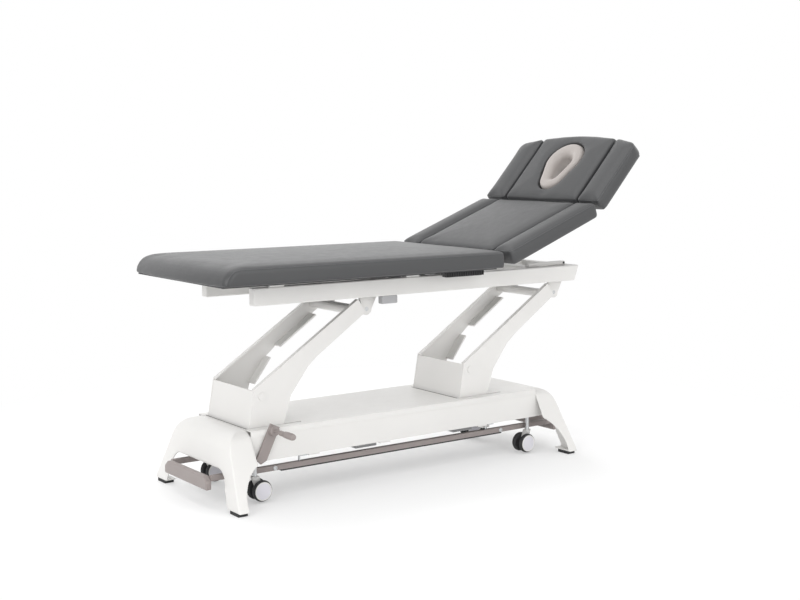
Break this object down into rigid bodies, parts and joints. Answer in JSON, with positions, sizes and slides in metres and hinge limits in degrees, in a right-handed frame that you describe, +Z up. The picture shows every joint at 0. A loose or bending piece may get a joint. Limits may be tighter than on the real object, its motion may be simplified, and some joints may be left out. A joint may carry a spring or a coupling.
{
  "type": "therapy couch",
  "caption": "Height-adjustable therapy couch: padded leg, back and head sections with armrests and face opening, on parallel lift arms over a base with retracting castors.",
  "frame": {"origin": "centre of the bounding box's footprint, on the floor under the rubber feet", "axes": "+X along the couch towards the head section, +Y to the far side away from the castor lever, +Z up"},
  "size_m": [1.9363, 0.68, 1.2427],
  "materials": {
    "upholstery": "satin",
    "face_upholstery": "satin",
    "tray_paint": "matte",
    "frame_paint": "satin",
    "shell_plastic": "gloss",
    "bright_steel": "satin",
    "foot_rubber": "matte",
    "castor_grey": "satin",
    "castor_tyre": "matte",
    "lever_paint": "satin",
    "black_plastic": "matte",
    "grey_plastic": "matte",
    "black_steel": "satin"
  },
  "bodies": {
    "base": {"base_chassis": "frame_paint", "bearing_blocks": "frame_paint", "arm_shafts": "bright_steel", "cover_top": "frame_paint", "side_panel_near": "frame_paint", "side_panel_far": "frame_paint", "foot_end_shell": "shell_plastic", "head_end_shell": "shell_plastic", "rubber_feet": "foot_rubber", "castor_guides": "castor_grey", "bar_hangers": "bright_steel", "lever_shaft": "bright_steel", "lift_actuator": "black_plastic", "control_boxes": "grey_plastic"},
    "foot_arm": {"foot_arm_plates": "frame_paint", "foot_arm_front": "frame_paint", "foot_arm_tubes": "frame_paint", "foot_arm_drive_pin": "bright_steel"},
    "head_arm": {"head_arm_plates": "frame_paint", "head_arm_front": "frame_paint", "head_arm_tubes": "frame_paint", "head_arm_drive_pin": "bright_steel"},
    "top_frame": {"near_rail": "frame_paint", "far_rail": "frame_paint", "cross_bars": "frame_paint", "clevises": "frame_paint", "clevis_pins": "bright_steel", "back_hinge": "bright_steel", "leg_board": "tray_paint", "leg_pad": "upholstery"},
    "back_section": {"back_frame": "tray_paint", "back_pad_center": "upholstery", "back_pad_near": "upholstery", "back_pad_far": "upholstery", "head_hinge": "bright_steel"},
    "head_section": {"head_frame": "tray_paint", "head_pad": "upholstery"},
    "armrest_near": {"armrest_frame_near": "tray_paint", "armrest_pad_near": "upholstery"},
    "armrest_far": {"armrest_frame_far": "tray_paint", "armrest_pad_far": "upholstery"},
    "face_ring": {"face_cushion": "face_upholstery"},
    "release": {"release_grip": "black_plastic"},
    "spring_cylinder": {"back_spring_cylinder": "black_steel"},
    "spring_rod": {"back_spring_rod": "bright_steel"},
    "lever": {"castor_lever": "lever_paint"},
    "foot_loop": {"foot_bars": "lever_paint", "end_pedals": "lever_paint"},
    "carriage_foot_near": {"castor_stem_foot_near": "bright_steel"},
    "fork_foot_near": {"castor_fork_foot_near": "castor_grey"},
    "wheels_foot_near": {"castor_wheels_foot_near": "castor_tyre"},
    "carriage_foot_far": {"castor_stem_foot_far": "bright_steel"},
    "fork_foot_far": {"castor_fork_foot_far": "castor_grey"},
    "wheels_foot_far": {"castor_wheels_foot_far": "castor_tyre"},
    "carriage_head_near": {"castor_stem_head_near": "bright_steel"},
    "fork_head_near": {"castor_fork_head_near": "castor_grey"},
    "wheels_head_near": {"castor_wheels_head_near": "castor_tyre"},
    "carriage_head_far": {"castor_stem_head_far": "bright_steel"},
    "fork_head_far": {"castor_fork_head_far": "castor_grey"},
    "wheels_head_far": {"castor_wheels_head_far": "castor_tyre"}
  },
  "joints": [
    {"name": "lift", "type": "hinge", "parent": "base", "child": "foot_arm", "pos_m": [-0.67339, 0, 0.2], "axis": [0, -1, 0], "range_deg": [-34, 10]},
    {"name": "head_arm_lift", "type": "hinge", "parent": "base", "child": "head_arm", "pos_m": [0.25361, 0, 0.2], "axis": [0, -1, 0], "range_deg": [-34, 10]},
    {"name": "top_level", "type": "hinge", "parent": "foot_arm", "child": "top_frame", "pos_m": [-0.25639, 0, 0.629], "axis": [0, -1, 0], "range_deg": [-10, 34]},
    {"name": "back_tilt", "type": "hinge", "parent": "top_frame", "child": "back_section", "pos_m": [0.24561, 0, 0.799], "axis": [0, -1, 0], "range_deg": [-21, 29]},
    {"name": "head_tilt", "type": "hinge", "parent": "back_section", "child": "head_section", "pos_m": [0.7096, 0, 0.97711], "axis": [0, -1, 0], "range_deg": [-45, 8]},
    {"name": "armrest_near_drop", "type": "hinge", "parent": "back_section", "child": "armrest_near", "pos_m": [0.7096, -0.28, 0.97711], "axis": [0, -1, 0], "range_deg": [-50, 0]},
    {"name": "armrest_far_drop", "type": "hinge", "parent": "back_section", "child": "armrest_far", "pos_m": [0.7096, 0.28, 0.97711], "axis": [0, -1, 0], "range_deg": [-50, 0]},
    {"name": "face_lift", "type": "slide", "parent": "head_section", "child": "face_ring", "axis": [-0.7373, 0, 0.6756], "range_m": [0, 0.06]},
    {"name": "release_pull", "type": "slide", "parent": "top_frame", "child": "release", "axis": [0, -1, 0], "range_m": [0, 0.012], "stiffness_N_per_m": 400, "springref_m": -0.004},
    {"name": "spring_swing", "type": "hinge", "parent": "top_frame", "child": "spring_cylinder", "pos_m": [-0.08839, 0, 0.715], "axis": [0, -1, 0], "range_deg": [-1.9, 2.62]},
    {"name": "spring_stroke", "type": "slide", "parent": "spring_cylinder", "child": "spring_rod", "axis": [0.9999, 0, 0.0153], "range_m": [-0.02752, 0.038]},
    {"name": "castor_lever_turn", "type": "hinge", "parent": "base", "child": "lever", "pos_m": [-0.74039, -0.2, 0.16], "axis": [0, 1, 0], "range_deg": [0, 60]},
    {"name": "foot_bar_press", "type": "slide", "parent": "base", "child": "foot_loop", "axis": [0, 0, -1], "range_m": [0, 0.006], "stiffness_N_per_m": 12000, "springref_m": -0.018},
    {"name": "castor_drop_foot_near", "type": "slide", "parent": "base", "child": "carriage_foot_near", "axis": [0, 0, -1], "range_m": [0, 0.018]},
    {"name": "swivel_foot_near", "type": "hinge", "parent": "carriage_foot_near", "child": "fork_foot_near", "pos_m": [-0.75439, -0.168, 0.092], "axis": [0, 0, 1], "continuous": true},
    {"name": "roll_foot_near", "type": "hinge", "parent": "fork_foot_near", "child": "wheels_foot_near", "pos_m": [-0.73639, -0.168, 0.0415], "axis": [0, 1, 0], "continuous": true},
    {"name": "castor_drop_foot_far", "type": "slide", "parent": "base", "child": "carriage_foot_far", "axis": [0, 0, -1], "range_m": [0, 0.018]},
    {"name": "swivel_foot_far", "type": "hinge", "parent": "carriage_foot_far", "child": "fork_foot_far", "pos_m": [-0.75439, 0.168, 0.092], "axis": [0, 0, 1], "continuous": true},
    {"name": "roll_foot_far", "type": "hinge", "parent": "fork_foot_far", "child": "wheels_foot_far", "pos_m": [-0.73639, 0.168, 0.0415], "axis": [0, 1, 0], "continuous": true},
    {"name": "castor_drop_head_near", "type": "slide", "parent": "base", "child": "carriage_head_near", "axis": [0, 0, -1], "range_m": [0, 0.018]},
    {"name": "swivel_head_near", "type": "hinge", "parent": "carriage_head_near", "child": "fork_head_near", "pos_m": [0.49761, -0.168, 0.092], "axis": [0, 0, 1], "continuous": true},
    {"name": "roll_head_near", "type": "hinge", "parent": "fork_head_near", "child": "wheels_head_near", "pos_m": [0.47961, -0.168, 0.0415], "axis": [0, 1, 0], "continuous": true},
    {"name": "castor_drop_head_far", "type": "slide", "parent": "base", "child": "carriage_head_far", "axis": [0, 0, -1], "range_m": [0, 0.018]},
    {"name": "swivel_head_far", "type": "hinge", "parent": "carriage_head_far", "child": "fork_head_far", "pos_m": [0.49761, 0.168, 0.092], "axis": [0, 0, 1], "continuous": true},
    {"name": "roll_head_far", "type": "hinge", "parent": "fork_head_far", "child": "wheels_head_far", "pos_m": [0.47961, 0.168, 0.0415], "axis": [0, 1, 0], "continuous": true}
  ],
  "couplings": [
    {"joint": "head_arm_lift", "follows": "lift", "ratio": 1},
    {"joint": "top_level", "follows": "lift", "ratio": -1},
    {"joint": "spring_swing", "follows": "back_tilt", "ratio": 0.09},
    {"joint": "spring_stroke", "follows": "back_tilt", "m_per_rad": 0.07506},
    {"joint": "castor_drop_foot_near", "follows": "castor_lever_turn", "m_per_rad": 0.017189},
    {"joint": "castor_drop_foot_far", "follows": "castor_lever_turn", "m_per_rad": 0.017189},
    {"joint": "castor_drop_head_near", "follows": "castor_lever_turn", "m_per_rad": 0.017189},
    {"joint": "castor_drop_head_far", "follows": "castor_lever_turn", "m_per_rad": 0.017189}
  ]
}
